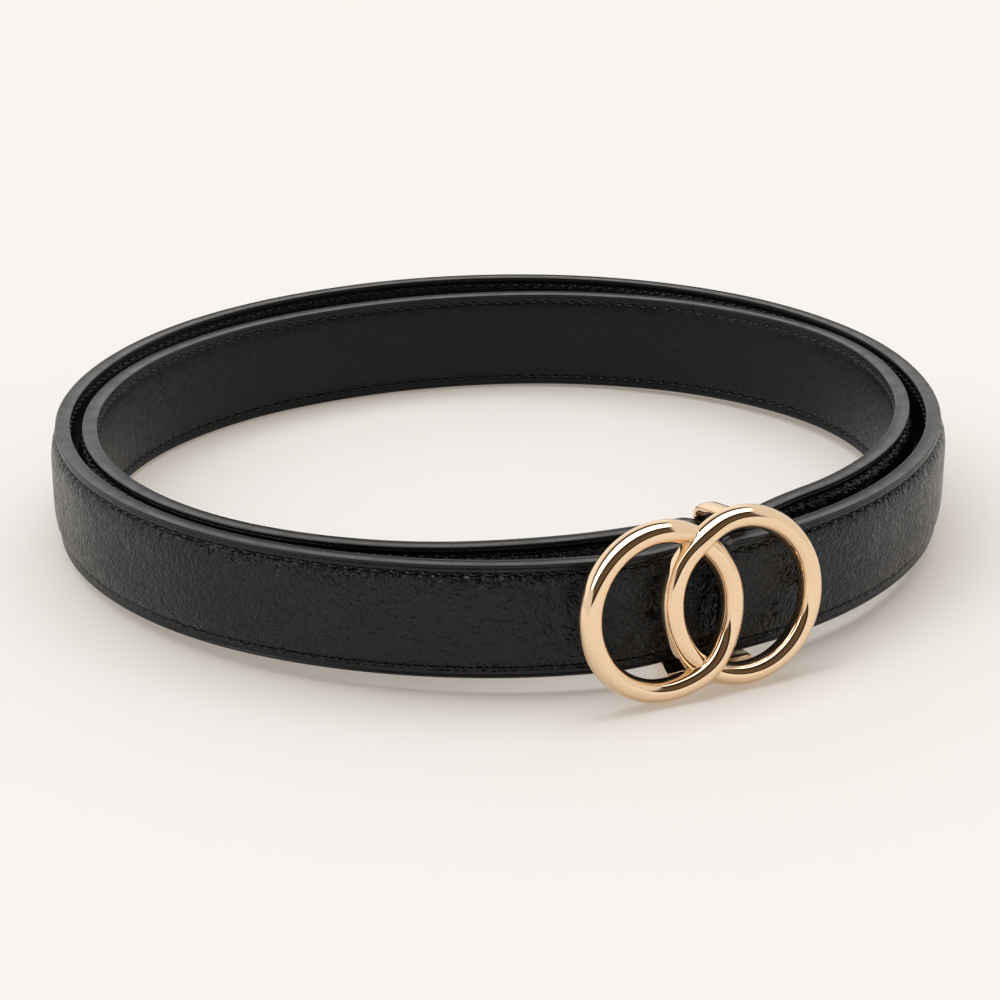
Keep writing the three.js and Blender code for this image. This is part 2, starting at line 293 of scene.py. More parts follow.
def addNode(tree, kind, settings=None, **inputs):
    node = tree.nodes.new(kind)
    for key, value in (settings or {}).items():
        setattr(node, key, value)
    for key, value in inputs.items():
        socket = node.inputs[key.replace("_", " ")]
        if isinstance(value, bpy.types.NodeSocket):
            tree.links.new(value, socket)
        else:
            socket.default_value = value
    return node


def maths(tree, operation, a, b=0.0, c=0.0):
    node = tree.nodes.new("ShaderNodeMath")
    node.operation = operation
    for socket, value in zip(node.inputs, (a, b, c)):
        if isinstance(value, bpy.types.NodeSocket):
            tree.links.new(value, socket)
        else:
            socket.default_value = value
    return node.outputs[0]


def ranged(tree, value, low, high, newLow=0.0, newHigh=1.0):
    # a soft step from newLow at low to newHigh at high
    node = addNode(tree, "ShaderNodeMapRange", {"interpolation_type": "SMOOTHSTEP"})
    tree.links.new(value, node.inputs["Value"])
    for key, number in (("From Min", low), ("From Max", high), ("To Min", newLow), ("To Max", newHigh)):
        node.inputs[key].default_value = number
    return node.outputs["Result"]


def noise(tree, place, scale, detail, distortion=0.0):
    sizes = {"Scale": scale, "Detail": detail, "Distortion": distortion}
    return addNode(tree, "ShaderNodeTexNoise", Vector=place, **sizes).outputs


def stretched(tree, vector, scale, turn=0.0):
    node = addNode(tree, "ShaderNodeMapping", Vector=vector)
    node.inputs["Scale"].default_value = scale
    node.inputs["Rotation"].default_value = (0.0, 0.0, turn)
    return node.outputs["Vector"]


# Leather. The pattern lies on the unrolled strap, in millimetres.
leatherLook = {
    "colour": (0.0024, 0.0026, 0.0029),
    # the lighter colour that the grain's tops take in broad patches, away from the creases
    "grainTops": (0.005, 0.0053, 0.0057),
    "shine": 0.33,
    "shineTint": (0.91, 0.96, 1.0),
    "roughness": 0.25,
    "smoother": 0.06,  # the roughness varies from this much less
    "rougher": 0.1,  # to this much more
    "driftScale": 0.22,  # the whole pattern wanders slowly by up to its drift
    "drift": 5.0,
    "grainScale": 0.85,  # creases per millimetre along the strap
    "grainStretch": 0.75,  # the creases run across the strap
    "grainTurn": 0.25,
    "creaseWidth": 0.24,  # as a share of the grain's cells
    "creaseDepth": 0.12,  # every depth is in millimetres
    "foldScale": 1.15,
    "foldTwist": 1.1,
    "foldDepth": 0.264,
    "foldRange": (0.3, 0.7),  # from the smoothest to the roughest place
    "poreScale": 3.2,
    "poreWidth": 0.45,
    "poreDepth": 0.006,
    "swellScale": 0.09,
    "swellDepth": 0.2,
    "seamGrain": 0.75,  # the grain is this much deeper again beside the seams
    "seamReach": 3.4,  # and less so up to here, inwards
    "seamSoft": (-0.5, 0.3),  # the deeper grain begins between these places
    "borderGrain": 0.2,  # the share left outside the seam, where the leather is smooth
    "borderSoft": (-0.9, 0.1),
    "puckerPitch": 3.0,
    "puckerDepth": 0.1,
    "puckerScale": 0.35,  # the puckers wander along the seam
    "puckerWander": 3.2,
}


def leather(name, look):
    material, tree, shader = newMaterial(name)
    unrolled = addNode(tree, "ShaderNodeUVMap", {"uv_map": "flat"}).outputs["UV"]
    place = stretched(tree, unrolled, (1 / mm, 1 / mm, 1.0))
    split = addNode(tree, "ShaderNodeSeparateXYZ", Vector=place)
    wandering = addNode(tree, "ShaderNodeVectorMath", {"operation": "MULTIPLY_ADD"})
    tree.links.new(noise(tree, place, look["driftScale"], 2.0)["Color"], wandering.inputs[0])
    wandering.inputs[1].default_value = (look["drift"], look["drift"], 0.0)
    tree.links.new(place, wandering.inputs[2])
    grainSize = (look["grainScale"], look["grainScale"] * look["grainStretch"], 1.0)
    grainPlace = stretched(tree, wandering.outputs[0], grainSize, look["grainTurn"])
    toCrease = {"feature": "DISTANCE_TO_EDGE"}
    creased = addNode(tree, "ShaderNodeTexVoronoi", toCrease, Vector=grainPlace, Scale=1.0, Randomness=1.0)
    ridge = ranged(tree, creased.outputs["Distance"], 0.0, look["creaseWidth"])
    fold = noise(tree, grainPlace, look["foldScale"], 1.0, look["foldTwist"])["Fac"]
    pitted = addNode(tree, "ShaderNodeTexVoronoi", Vector=wandering.outputs[0], Scale=look["poreScale"])
    pore = ranged(tree, pitted.outputs["Distance"], 0.0, look["poreWidth"])
    broad = noise(tree, place, look["swellScale"], 2.0)["Fac"]
    grain = maths(tree, "MULTIPLY", ridge, look["creaseDepth"])
    grain = maths(tree, "MULTIPLY_ADD", fold, look["foldDepth"], grain)
    # deeper grain and puckers beside each seam
    fromLow = maths(tree, "SUBTRACT", split.outputs["Y"], strap["seamInset"])
    fromHigh = maths(tree, "SUBTRACT", strap["width"] - strap["seamInset"], split.outputs["Y"])
    fromSeam = maths(tree, "MINIMUM", fromLow, fromHigh)
    inner = ranged(tree, fromSeam, 0.0, look["seamReach"], 1.0, 0.0)
    start = ranged(tree, fromSeam, *look["seamSoft"])
    beside = maths(tree, "MULTIPLY", inner, start)
    deeper = maths(tree, "MULTIPLY_ADD", beside, look["seamGrain"], 1.0)
    flatter = ranged(tree, fromSeam, *look["borderSoft"], look["borderGrain"], 1.0)
    grain = maths(tree, "MULTIPLY", grain, maths(tree, "MULTIPLY", deeper, flatter))
    grain = maths(tree, "MULTIPLY_ADD", pore, look["poreDepth"], grain)
    grain = maths(tree, "MULTIPLY_ADD", broad, look["swellDepth"], grain)
    waver = noise(tree, place, look["puckerScale"], 1.0)["Fac"]
    phase = maths(tree, "MULTIPLY_ADD", waver, look["puckerWander"], split.outputs["X"])
    wave = maths(tree, "SINE", maths(tree, "MULTIPLY", phase, 2 * math.pi / look["puckerPitch"]))
    pucker = maths(tree, "MULTIPLY", wave, beside)
    grain = maths(tree, "MULTIPLY_ADD", pucker, look["puckerDepth"], grain)
    bump = addNode(tree, "ShaderNodeBump", Height=grain, Strength=1.0, Distance=mm)
    tree.links.new(bump.outputs["Normal"], shader.inputs["Normal"])
    # the colour is lighter on the grain's tops in broad patches, and the creases keep the darker colour
    tint = addNode(tree, "ShaderNodeMix", {"data_type": "RGBA"})
    tree.links.new(maths(tree, "MULTIPLY", ridge, broad), tint.inputs["Factor"])
    tint.inputs["A"].default_value = (*look["colour"], 1.0)
    tint.inputs["B"].default_value = (*look["grainTops"], 1.0)
    tree.links.new(tint.outputs["Result"], shader.inputs["Base Color"])
    smoothest, roughest = look["roughness"] - look["smoother"], look["roughness"] + look["rougher"]
    uneven = ranged(tree, fold, *look["foldRange"], smoothest, roughest)
    tree.links.new(uneven, shader.inputs["Roughness"])
    shader.inputs["Specular IOR Level"].default_value = look["shine"]
    shader.inputs["Specular Tint"].default_value = (*look["shineTint"], 1.0)
    return material


# The outline of the unrolled strap: how wide it is at a length, and the closed line round it
def strapShare(length):
    fromTip = np.clip((strapLength - length) / strap["tipLength"], 0, 1)
    fromStart = np.clip(length / strap["cornerRadius"], 0, 1)
    tip = np.sqrt(1 - (1 - fromTip) ** 2)
    corner = 1 - 2 * strap["cornerRadius"] / strap["width"] * (1 - np.sqrt(1 - (1 - fromStart) ** 2))
    return tip * corner


# how the ends are divided: the first length, and the angle that the last one stops short of the tip
wallEnds = {"first": 0.02, "startCount": 5, "tipCount": 18, "last": 0.03}
outlineEnds = {"first": 0.0, "startCount": 8, "tipCount": 24, "last": 0.0}


def strapLengths(step, first, startCount, tipCount, last):
    # lengths along the strap, closer together in its square start and its round tip
    tipTurn = np.linspace(0, math.pi / 2 - last, tipCount)
    return np.concatenate(
        [
            np.linspace(first, strap["cornerRadius"], startCount, endpoint=False),
            np.arange(strap["cornerRadius"], strapLength - strap["tipLength"], step),
            strapLength - strap["tipLength"] * np.cos(tipTurn),
        ]
    )


def strapOutline(inset, step):
    # the closed line that runs this far inside the strap's edge, and its inward direction
    lengths = strapLengths(step, **outlineEnds)
    half = strap["width"] / 2 * strapShare(lengths)
    middle = strap["width"] / 2
    lower = np.stack([lengths, middle - half], -1)
    upper = np.stack([lengths, middle + half], -1)[::-1]
    line = np.concatenate([lower, upper[1:]])
    before, after = np.roll(line, 1, 0), np.roll(line, -1, 0)
    tangent = after - before
    tangent /= np.linalg.norm(tangent, axis=1)[:, None]
    inward = np.stack([-tangent[:, 1], tangent[:, 0]], -1)
    return line + inward * inset, inward


def paddingShare(length):
    bearings, shares = [row["bearing"] for row in pressed], [row["share"] for row in pressed]
    return np.interp(along(courseBearing, length), bearings, shares)


def crown(share):
    # how far the padding stands out, from 0 at one seam to 1 in the middle
    inside = strap["seamInset"] / strap["width"]
    place = np.clip((share - inside) / (1 - 2 * inside), 0, 1)
    return 1 - np.abs(2 * place - 1) ** strap["crownPower"]


# Round holes near the tip and one for the stud, cut through both leathers
holes = {
    "radius": 1.5,
    "first": 62.0,  # from the tip
    "pitch": 22.0,
    "count": 5,
    "studRadius": 1.5,
    "studShift": 1.4,  # from the right ring's middle line, outwards
    "sides": 24,
    "past": (1.5, 1.0),  # the cutting bars stand out by this much inside and outside
}


def cutHoles(piece):
    studPlace = rings["offset"] + rings["spacing"] / 2 + ringMean + holes["studShift"]
    studBearing = math.degrees(math.asin(studPlace / float(faceRadius(np.array(0.0)))))
    lastHole = strapLength - holes["first"]
    places = [(lastHole - i * holes["pitch"], holes["radius"]) for i in range(holes["count"])]
    places.append((float(np.interp(studBearing, courseBearing, courseLength)), holes["studRadius"]))
    turn = np.linspace(0, 2 * math.pi, holes["sides"], endpoint=False)
    corners, faces = [], []
    for length, radius in places:
        normal = [along(courseOut[:, i], length) for i in (0, 1)]
        middle = bend(np.array([length]), np.array([strap["width"] / 2]), np.array([0.0]))[0]
        outward = np.array([normal[0], normal[1], 0.0]) / math.hypot(*normal)
        sideways = np.array([outward[1], -outward[0], 0.0])
        start = len(corners)
        for out in (-strapThickness - holes["past"][0], strap["padding"] + holes["past"][1]):
            for angle in turn:
                around = sideways * radius * math.cos(angle) + np.array([0, 0, radius * math.sin(angle)])
                corners.append(middle + outward * out + around)
        faces += [[start + v for v in face] for face in skinFaces(2, holes["sides"])]
    cutter = makeMesh("holeBars", toFrame(corners), faces, piece.data.materials[0])
    cut = piece.modifiers.new("holes", "BOOLEAN")
    cut.operation, cut.solver, cut.object = "DIFFERENCE", "EXACT", cutter
    settled(piece)
    bpy.data.objects.remove(cutter)


# The face: padded leather with its seams drawn in
faceDetail = {
    "step": 0.8,  # millimetres between sections
    # places across: up to this height at this step
    "across": [(0.9, 0.11), (1.4, 0.25), (2.5, 0.14), (5.1, 0.43), (11.5, 0.9)],
    "edgeInset": 0.28,  # the painted edge takes the rest
    "seamDip": 0.46,
    "seamWidth": 0.42,
    "puckerDepth": 0.07,  # the stitches draw the leather in beside the seam
    "puckerPitch": 3.2,
    "puckerStart": 0.5,
    "puckerReach": 2.6,
    "edgeDip": 0.14,  # a fine groove beside the painted edge
    "edgeDipPlace": 0.62,
    "edgeDipWidth": 0.16,
    "sag": 0.2,  # slow unevenness of the padding
    "creaseHeight": 0.36,  # of the upright creases, as a share of the strap's width to each side
}
# upright creases in the leather beside the rings: length before the rings' middle, and how deep
creases = [
    {"before": 28.6, "depth": 0.55, "width": 1.2, "slant": 1.0},
    {"before": 31.4, "depth": 0.35, "width": 0.9, "slant": -1.2},
    {"before": 36.0, "depth": 0.2, "width": 1.6, "slant": 1.0},
]


def seamDip(height, detail):
    fromEdge = np.minimum(height, strap["width"] - height)
    return -detail["seamDip"] * np.exp(-(((fromEdge - strap["seamInset"]) / detail["seamWidth"]) ** 2))


def puckers(length, height):
    # shallow waves on the padding's side of each seam, which wander so that they don't look ruled
    fromSeam = np.minimum(height, strap["width"] - height) - strap["seamInset"]
    share = np.clip(fromSeam / faceDetail["puckerStart"], 0, 1)
    share = share * np.clip(1 - fromSeam / faceDetail["puckerReach"], 0, 1)
    wander = 0.8 * np.sin(length * 0.31) + 0.5 * np.sin(length * 0.83 + height)
    wave = np.sin(2 * math.pi * (length + wander) / faceDetail["puckerPitch"])
    return faceDetail["puckerDepth"] * share * wave


def creaseDip(length, height):
    buckleBearing = 360 + math.degrees(math.asin(rings["offset"] / coil["radius"]))
    buckle = np.interp(buckleBearing, courseBearing, courseLength)
    fromMiddle = (height - strap["width"] * 0.5) / (strap["width"] * faceDetail["creaseHeight"])
    fade = np.exp(-(fromMiddle ** 4))
    dip = np.zeros(np.broadcast(length, height).shape)
    for crease in creases:
        centre = buckle - crease["before"] + crease["slant"] * (height / strap["width"] - 0.5)
        dip -= crease["depth"] * np.exp(-(((length - centre) / crease["width"]) ** 2)) * fade
    return dip


def faceSurface(length, height):
    # distance out of the strap's outer side at a place of the unrolled face; its waves have unlike
    # lengths, so no stretch of the padding repeats another
    slowWave = np.sin(length * 0.071 + 1.3) * np.sin(length * 0.0233)
    quickWave = np.sin(length * 0.19 + height * 0.11)
    bulge = strap["padding"] + faceDetail["sag"] * (slowWave + 0.6 * quickWave)
    narrowest = 0.05  # keeps the tip's end from a division by nothing
    shareOut = crown(0.5 + (height / strap["width"] - 0.5) / np.maximum(strapShare(length), narrowest))
    fromGroove = np.minimum(height, strap["width"] - height) - faceDetail["edgeDipPlace"]
    groove = -faceDetail["edgeDip"] * np.exp(-((fromGroove / faceDetail["edgeDipWidth"]) ** 2))
    dips = seamDip(height, faceDetail) + creaseDip(length, height) + groove + puckers(length, height)
    return bulge * paddingShare(length) * shareOut + dips


def acrossShares(detail):
    # places across the strap from 0 to 1, closest together in the grooves
    inset = faceDetail["edgeInset"]
    half = [inset]
    for upTo, step in detail["across"]:
        half += list(np.linspace(half[-1], upTo, round((upTo - half[-1]) / step) + 1)[1:])
    places = np.array(half + [strap["width"] - place for place in half[-2::-1]])
    return (places - inset) / (strap["width"] - 2 * inset)


def leatherWall(name, detail, outer, back, material):
    # a wall of leather from its plain back to its outer surface, a function of length and height
    lengths, share = strapLengths(detail["step"], **wallEnds), acrossShares(detail)
    backShare = np.array([1.0, 0.66, 0.33, 0.0])
    middle, half = strap["width"] / 2, strap["width"] / 2 - faceDetail["edgeInset"]
    width = strapShare(lengths)[:, None]
    length = lengths[:, None]
    outerHeight = middle + (2 * share[None] - 1) * half * width
    backHeight = middle + (2 * backShare[None] - 1) * half * width
    height = np.concatenate([outerHeight, backHeight], 1)
    out = np.concatenate([outer(length, outerHeight), np.full(backHeight.shape, back)], 1)
    corners = toFrame(bend(length, height, out))
    rows, columns = height.shape
    flat = np.stack([np.broadcast_to(length, height.shape), height], -1).reshape(-1, 2) * mm
    return makeMesh(name, corners, skinFaces(rows, columns), material, flat)


def buildFace():
    material = leather("grainLeather", leatherLook)
    piece = leatherWall("strapFace", faceDetail, faceSurface, -strap["faceWall"], material)
    cutHoles(piece)
    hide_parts("strap_face")
    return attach(piece, "root")


# The lining: the same leather, thinner and plainer
liningLook = dict(
    leatherLook,
    colour=(0.0026, 0.0028, 0.0031),
    shine=0.27,
    roughness=0.36,
    swellDepth=0.05,
    creaseDepth=0.03,
    foldDepth=0.096,
    puckerDepth=0.05,
)
liningDetail = {
    "step": 1.4,
    "across": [(1.4, 0.56), (2.5, 0.18), (11.5, 1.5)],
    "seamDip": 0.3,
    "seamWidth": 0.4,
}


def liningSurface(length, height):
    bulge = strap["swell"] * crown(height / strap["width"]) * paddingShare(length)
    return -strapThickness - bulge - seamDip(height, liningDetail)


def buildLining():
    material = leather("liningLeather", liningLook)
    back = -strap["faceWall"] - strap["gap"]
    piece = leatherWall("strapLining", liningDetail, liningSurface, back, material)
    cutHoles(piece)
    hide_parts("strap_lining")
    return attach(piece, "root")


# The painted edge: one bead round the whole strap that covers both leathers' cut edges
edgePaint = {
    "lap": 0.05,  # over the leather on each side
    "lapDepth": 0.5,
    "tuck": 0.25,  # the bead's feet go this much deeper, out of sight in the leather
    "tuckDrop": 0.35,
    "lip": 0.26,
    "lipSteps": (0.0, 0.3, 0.55, 0.8, 1.0),  # shares of a quarter turn
    "lipFlat": 1.3,  # from here out the lip lies level, in lip sizes
    "footDrop": 0.02,
    "dish": 0.16,
    "dishWall": ((0.35, 1.6), (1.0, 2.3)),  # depth in dishes, distance from the corner in lip sizes
    "dishMiddle": 0.6,
    "step": 1.6,
    "colour": (0.006, 0.006, 0.0063),
    "roughness": 0.24,
    "smoother": 0.05,
    "rougher": 0.1,
    "shine": 0.34,
    "waveScale": 240.0,  # per metre
    "waveRange": (0.3, 0.7),
    "brushScale": 1500.0,
    "brushShare": 0.12,
    "bumpDepth": 0.06,
}


def edgeSection():
    # (inward, out) round the bead, from the face's side over the edge to the lining's; a fine lip
    # runs along each corner
    high, low = edgePaint["lap"], -strapThickness - edgePaint["lap"]
    deep, lip, dish = edgePaint["lapDepth"], edgePaint["lip"], edgePaint["dish"]
    halves = []
    for side, top in ((1, high), (-1, low)):
        half = [(deep + edgePaint["tuck"], top - edgePaint["tuckDrop"] * side)]
        half += [(deep, top - edgePaint["footDrop"] * side), (lip * edgePaint["lipFlat"], top)]
        for share in edgePaint["lipSteps"]:
            angle = share * math.pi / 2
            half.append((lip * (1 - math.sin(angle)), top - side * lip * (1 - math.cos(angle))))
        half += [(depth * dish, top - side * away * lip) for depth, away in edgePaint["dishWall"]]
        halves.append(half)
    middle = (dish * edgePaint["dishMiddle"], (high + low) / 2)
    return halves[0] + [middle] + halves[1][::-1]


def paintMaterial():
    material, tree, shader = newMaterial("edgePaint")
    place = addNode(tree, "ShaderNodeTexCoord").outputs["Object"]
    uneven = noise(tree, place, edgePaint["waveScale"], 2.0)["Fac"]
    brushed = noise(tree, place, edgePaint["brushScale"], 2.0)["Fac"]
    height = maths(tree, "MULTIPLY_ADD", brushed, edgePaint["brushShare"], uneven)
    depth = edgePaint["bumpDepth"] * mm
    bump = addNode(tree, "ShaderNodeBump", Height=height, Strength=0.5, Distance=depth)
    tree.links.new(bump.outputs["Normal"], shader.inputs["Normal"])
    smoothest = edgePaint["roughness"] - edgePaint["smoother"]
    roughest = edgePaint["roughness"] + edgePaint["rougher"]
    rubbed = ranged(tree, uneven, *edgePaint["waveRange"], smoothest, roughest)
    tree.links.new(rubbed, shader.inputs["Roughness"])
    shader.inputs["Base Color"].default_value = (*edgePaint["colour"], 1.0)
    shader.inputs["Specular IOR Level"].default_value = edgePaint["shine"]
    return material


def buildEdge():
    section = np.array(edgeSection())
    line, inward = strapOutline(0.0, edgePaint["step"])
    places = line[:, None, :] + inward[:, None, :] * section[None, :, :1]
    lengths = np.clip(places[..., 0], 0, strapLength)
    corners = toFrame(bend(lengths, places[..., 1], section[None, :, 1]))
    faces = skinFaces(len(line), len(section), aroundRows=True)
    piece = makeMesh("strapEdge", corners, faces, paintMaterial())
    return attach(piece, "root")


# Stitches: threads laid along the seams by a node tree
stitching = {
    "pitch": 3.0,
    "length": 2.3,
    "thread": 0.24,
    "rise": 0.36,
    "sink": 0.5,
    "arcSteps": 5,
    "sides": 7,
    "guideStep": 1.0,
    "colour": (0.003, 0.003, 0.0032),
    "roughness": 0.22,
    "twistScale": 2600.0,  # per metre
    "twistDepth": 0.05,
}


def threadMaterial():
    material, tree, shader = newMaterial("thread")
    place = addNode(tree, "ShaderNodeTexCoord").outputs["Object"]
    twist = noise(tree, place, stitching["twistScale"], 1.0)["Fac"]
    depth = stitching["twistDepth"] * mm
    bump = addNode(tree, "ShaderNodeBump", Height=twist, Strength=0.6, Distance=depth)
    tree.links.new(bump.outputs["Normal"], shader.inputs["Normal"])
    shader.inputs["Base Color"].default_value = (*stitching["colour"], 1.0)
    shader.inputs["Roughness"].default_value = stitching["roughness"]
    return material


def stitchTree(material):
    # a guide line with an outDir attribute goes in, and one mesh of stitches comes out
    tree = bpy.data.node_groups.new("stitchesOnSeam", "GeometryNodeTree")
    face = tree.interface
    face.new_socket("Guide", in_out="INPUT", socket_type="NodeSocketGeometry")
    for name in ("Pitch", "Stitch Length", "Thread Radius", "Rise", "Sink"):
        face.new_socket(name, in_out="INPUT", socket_type="NodeSocketFloat")
    face.new_socket("Stitches", in_out="OUTPUT", socket_type="NodeSocketGeometry")
    given, result = tree.nodes.new("NodeGroupInput"), tree.nodes.new("NodeGroupOutput")
    link = tree.links.new

    line = addNode(tree, "GeometryNodeMeshToCurve", Mesh=given.outputs["Guide"])
    spaced = tree.nodes.new("GeometryNodeResampleCurve")
    spaced.mode = "LENGTH"
    link(line.outputs["Curve"], spaced.inputs["Curve"])
    link(given.outputs["Pitch"], spaced.inputs["Length"])

    half = maths(tree, "MULTIPLY", given.outputs["Stitch Length"], 0.5)
    down = maths(tree, "MULTIPLY", given.outputs["Sink"], -1.0)
    ends = []
    for sign in (-1.0, 1.0):
        ends.append(addNode(tree, "ShaderNodeCombineXYZ", X=maths(tree, "MULTIPLY", half, sign), Z=down))
    peak = maths(tree, "MULTIPLY_ADD", given.outputs["Rise"], 2.0, given.outputs["Sink"])
    top = addNode(tree, "ShaderNodeCombineXYZ", Z=peak)
    arc = tree.nodes.new("GeometryNodeCurveQuadraticBezier")
    arc.inputs["Resolution"].default_value = stitching["arcSteps"]
    link(ends[0].outputs[0], arc.inputs["Start"])
    link(top.outputs[0], arc.inputs["Middle"])
    link(ends[1].outputs[0], arc.inputs["End"])
    circle = tree.nodes.new("GeometryNodeCurvePrimitiveCircle")
    circle.inputs["Resolution"].default_value = stitching["sides"]
    link(given.outputs["Thread Radius"], circle.inputs["Radius"])
    thread = tree.nodes.new("GeometryNodeCurveToMesh")
    thread.inputs["Fill Caps"].default_value = True
    link(arc.outputs["Curve"], thread.inputs["Curve"])
    link(circle.outputs["Curve"], thread.inputs["Profile Curve"])

    direction = tree.nodes.new("GeometryNodeInputTangent")
    outDir = tree.nodes.new("GeometryNodeInputNamedAttribute")
    outDir.data_type = "FLOAT_VECTOR"
    outDir.inputs["Name"].default_value = "outDir"
    turned = tree.nodes.new("FunctionNodeAxesToRotation")
    turned.primary_axis, turned.secondary_axis = "X", "Z"
    link(direction.outputs["Tangent"], turned.inputs["Primary Axis"])
    link(outDir.outputs["Attribute"], turned.inputs["Secondary Axis"])
    placed = tree.nodes.new("GeometryNodeInstanceOnPoints")
    link(spaced.outputs["Curve"], placed.inputs["Points"])
    link(thread.outputs["Mesh"], placed.inputs["Instance"])
    link(turned.outputs["Rotation"], placed.inputs["Rotation"])
    real = addNode(tree, "GeometryNodeRealizeInstances", Geometry=placed.outputs["Instances"])
    smooth = addNode(tree, "GeometryNodeSetShadeSmooth", Geometry=real.outputs["Geometry"])
    painted = addNode(tree, "GeometryNodeSetMaterial", Geometry=smooth.outputs["Geometry"])
    painted.inputs["Material"].default_value = material
    link(painted.outputs["Geometry"], result.inputs["Stitches"])
    return tree


def seamGuide(name, surface, sign):
    # a closed line of edges along the seam, lifted onto the leather's surface
    line, _ = strapOutline(strap["seamInset"], stitching["guideStep"])
    line[:, 0] = np.clip(line[:, 0], strap["seamInset"], strapLength - strap["seamInset"])
    out = surface(line[:, 0], line[:, 1])
    corners = toFrame(bend(line[:, 0], line[:, 1], out))
    away = toFrame(bend(line[:, 0], line[:, 1], out + sign)) - corners
    mesh = bpy.data.meshes.new(name)
    count = len(corners)
    mesh.from_pydata([tuple(c) for c in corners], [(i, (i + 1) % count) for i in range(count)], [])
    away /= np.linalg.norm(away, axis=1)[:, None]
    column = mesh.attributes.new("outDir", "FLOAT_VECTOR", "POINT")
    column.data.foreach_set("vector", away.astype(np.float32).ravel())
    piece = bpy.data.objects.new(name, mesh)
    scene.collection.objects.link(piece)
    return piece


def buildStitches(tree, name, surface, sign):
    piece = seamGuide(name, surface, sign)
    sewing = piece.modifiers.new("stitches", "NODES")
    sewing.node_group = tree
    sizes = {
        "Pitch": stitching["pitch"],
        "Stitch Length": stitching["length"],
        "Thread Radius": stitching["thread"],
        "Rise": stitching["rise"],
        "Sink": stitching["sink"],
    }
    for item in tree.interface.items_tree:
        if item.in_out == "INPUT" and item.name in sizes:
            sewing[item.identifier] = sizes[item.name] * mm
    settled(piece)
    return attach(piece, "root")


# Gold: polished pale plating
gold = {
    "colour": (0.895, 0.668, 0.452),
    "roughness": 0.05,
    "waviness": 0.012,
    "waveScale": 140.0,  # per metre
    "polishScale": 1800.0,
    "polishRange": (0.35, 0.7),  # from the smoothest to the roughest place
    "smoother": 0.02,
    "rougher": 0.03,
}


def goldMaterial():
    material, tree, shader = newMaterial("paleGold")
    place = addNode(tree, "ShaderNodeTexCoord").outputs["Object"]
    wave = noise(tree, place, gold["waveScale"], 1.0)["Fac"]
    polish = noise(tree, place, gold["polishScale"], 3.0)["Fac"]
    bump = addNode(tree, "ShaderNodeBump", Height=wave, Strength=1.0, Distance=gold["waviness"] * mm)
    tree.links.new(bump.outputs["Normal"], shader.inputs["Normal"])
    smoothest, roughest = gold["roughness"] - gold["smoother"], gold["roughness"] + gold["rougher"]
    rubbed = ranged(tree, polish, *gold["polishRange"], smoothest, roughest)
    tree.links.new(rubbed, shader.inputs["Roughness"])
    shader.inputs["Base Color"].default_value = (*gold["colour"], 1.0)
    shader.inputs["Metallic"].default_value = 1.0
    return material


def buildRings(material):
    halves = []
    for side, name in ((-1, "leftRing"), (1, "rightRing")):
        corners = ringCorners(side)
        faces = skinFaces(corners.shape[0], corners.shape[1], aroundRows=True)
        halves.append(makeMesh(name, toFrame(corners), faces, material))
    piece, other = halves
    joined = piece.modifiers.new("join", "BOOLEAN")
    joined.operation, joined.solver, joined.object = "UNION", "EXACT", other
    settled(piece)
    bpy.data.objects.remove(other)
    piece.name = piece.data.name = "doubleRing"
    piece.data.shade_smooth()
    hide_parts("double_ring")
    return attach(piece, "root")


# The keeper: a strip bent round the strap's layers behind the rings
keeper = {
    "thickness": 1.0,
    "width": 12.5,
    "offset": -6.4,
    "lipWidth": 19.4,  # the front end that shows under the strap
    "lipOffset": -9.8,
    "tongueWidth": 4.4,
    "tongueOffset": 0.8,
    "slack": 0.8,
    "rise": 3.2,
    "bend": 1.6,
    "tongueBend": 2.4,
    "overStrap": 0.7,
    "softening": 0.3,
    "crown": 0.35,
    "crownReach": 0.86,  # of the half width
    "crownPoints": 9,
    "bendPoints": 7,
    "plate": (0.3, 0.72),  # from here to here, as shares of the strap's width, it narrows
    "samples": 140,
}


def quarter(y, z, radius, over):
    # a quarter turn of the strip's path about the corner (y, z), upwards or back over the top
    steps = [share * math.pi / 2 for share in np.linspace(0, 1, keeper["bendPoints"])]
    if over:
        return [(y - radius + radius * math.cos(a), z - radius + radius * math.sin(a)) for a in steps]
    return [(y - radius + radius * math.sin(a), z + radius - radius * math.cos(a)) for a in steps]


